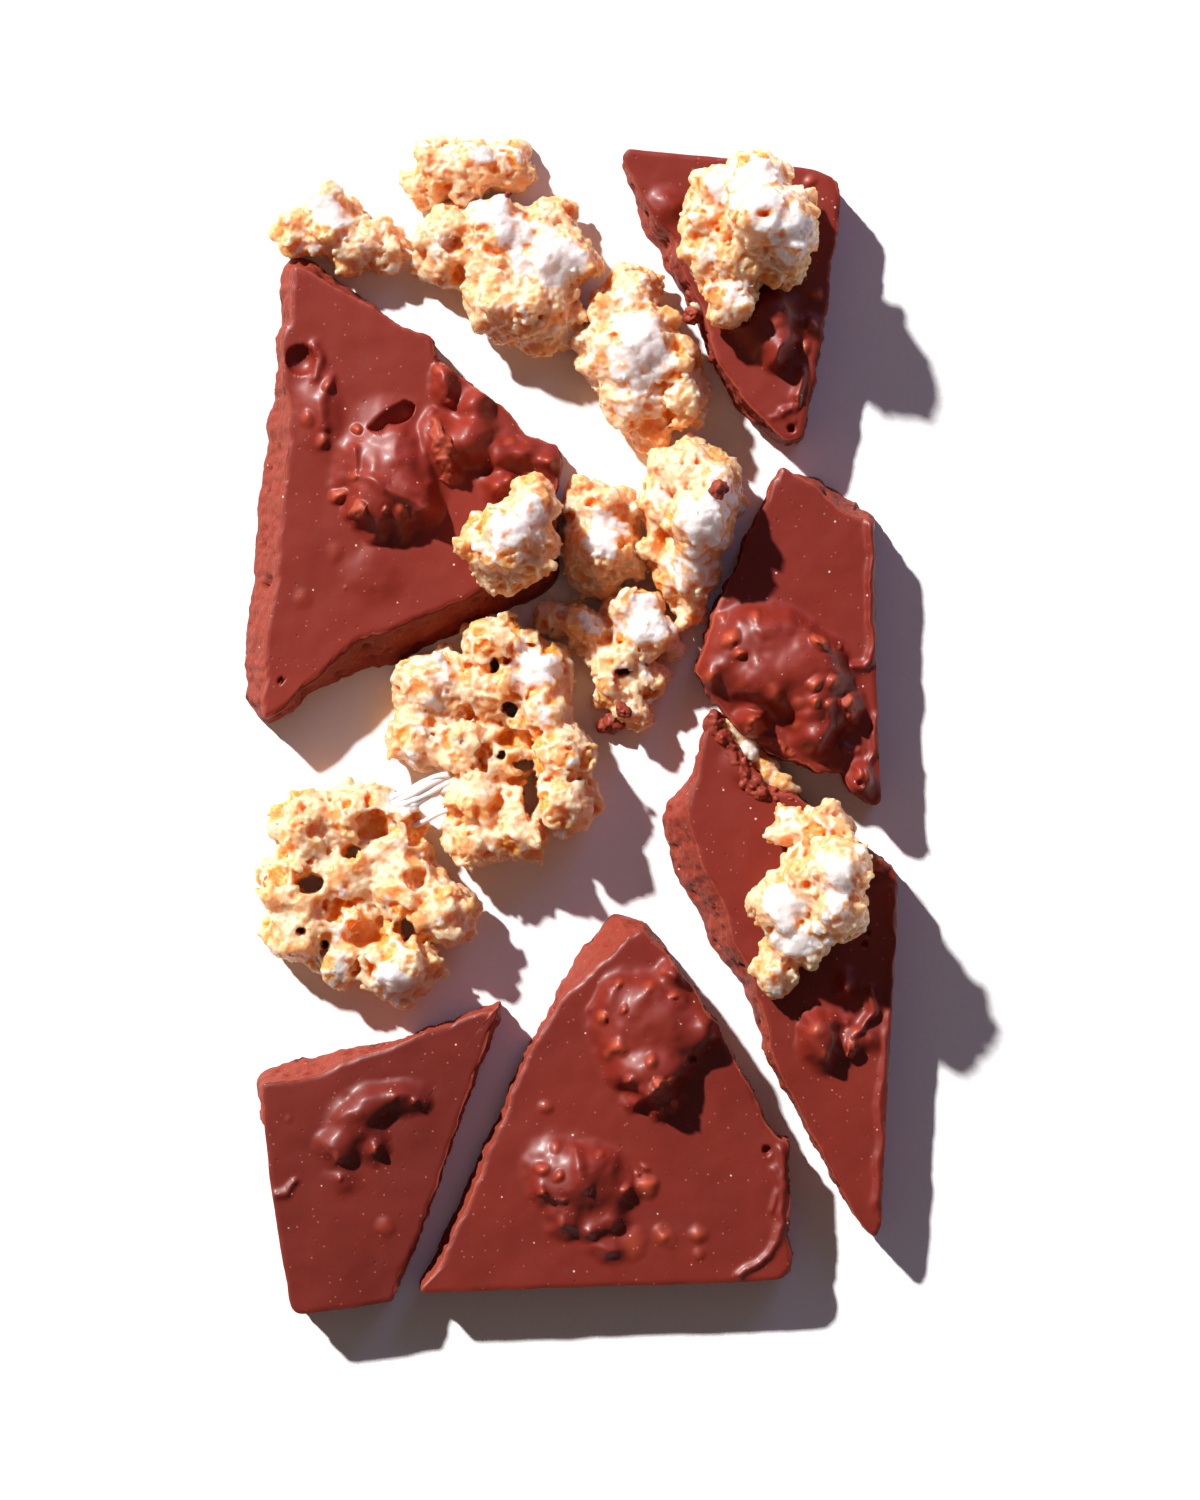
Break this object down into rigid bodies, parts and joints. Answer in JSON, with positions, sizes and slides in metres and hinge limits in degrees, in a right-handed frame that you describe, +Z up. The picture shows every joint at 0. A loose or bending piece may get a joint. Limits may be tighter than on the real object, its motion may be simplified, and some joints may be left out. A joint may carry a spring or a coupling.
{
  "type": "crisped rice chocolate bar",
  "caption": "Milk chocolate bar broken into flat shards with crisps under the poured face, and loose clusters of puffed rice and marshmallow between and on them",
  "frame": {"origin": "On the surface that the bar lies on, at the middle of the box round all its pieces", "axes": "+X across the bar, to the right as seen from above; +Y along the bar, toward the end with the upper shard; +Z up, out of the poured face"},
  "size_m": [0.0968, 0.174, 0.0247],
  "materials": {
    "chocolate": "satin",
    "crisped_rice": "matte"
  },
  "bodies": {
    "root": {"shard_left": "chocolate", "shard_upper": "chocolate", "shard_right": "chocolate", "shard_lower": "chocolate", "shard_base": "chocolate", "shard_corner": "chocolate", "cluster_corner": "crisped_rice", "cluster_north": "crisped_rice", "cluster_crown": "crisped_rice", "cluster_middle": "crisped_rice", "cluster_tower": "crisped_rice", "cluster_neck": "crisped_rice", "cluster_arch": "crisped_rice", "cluster_shelf": "crisped_rice", "cluster_lace": "crisped_rice", "cluster_disc": "crisped_rice", "cluster_perch": "crisped_rice", "cluster_ledge": "crisped_rice"}
  },
  "joints": []
}
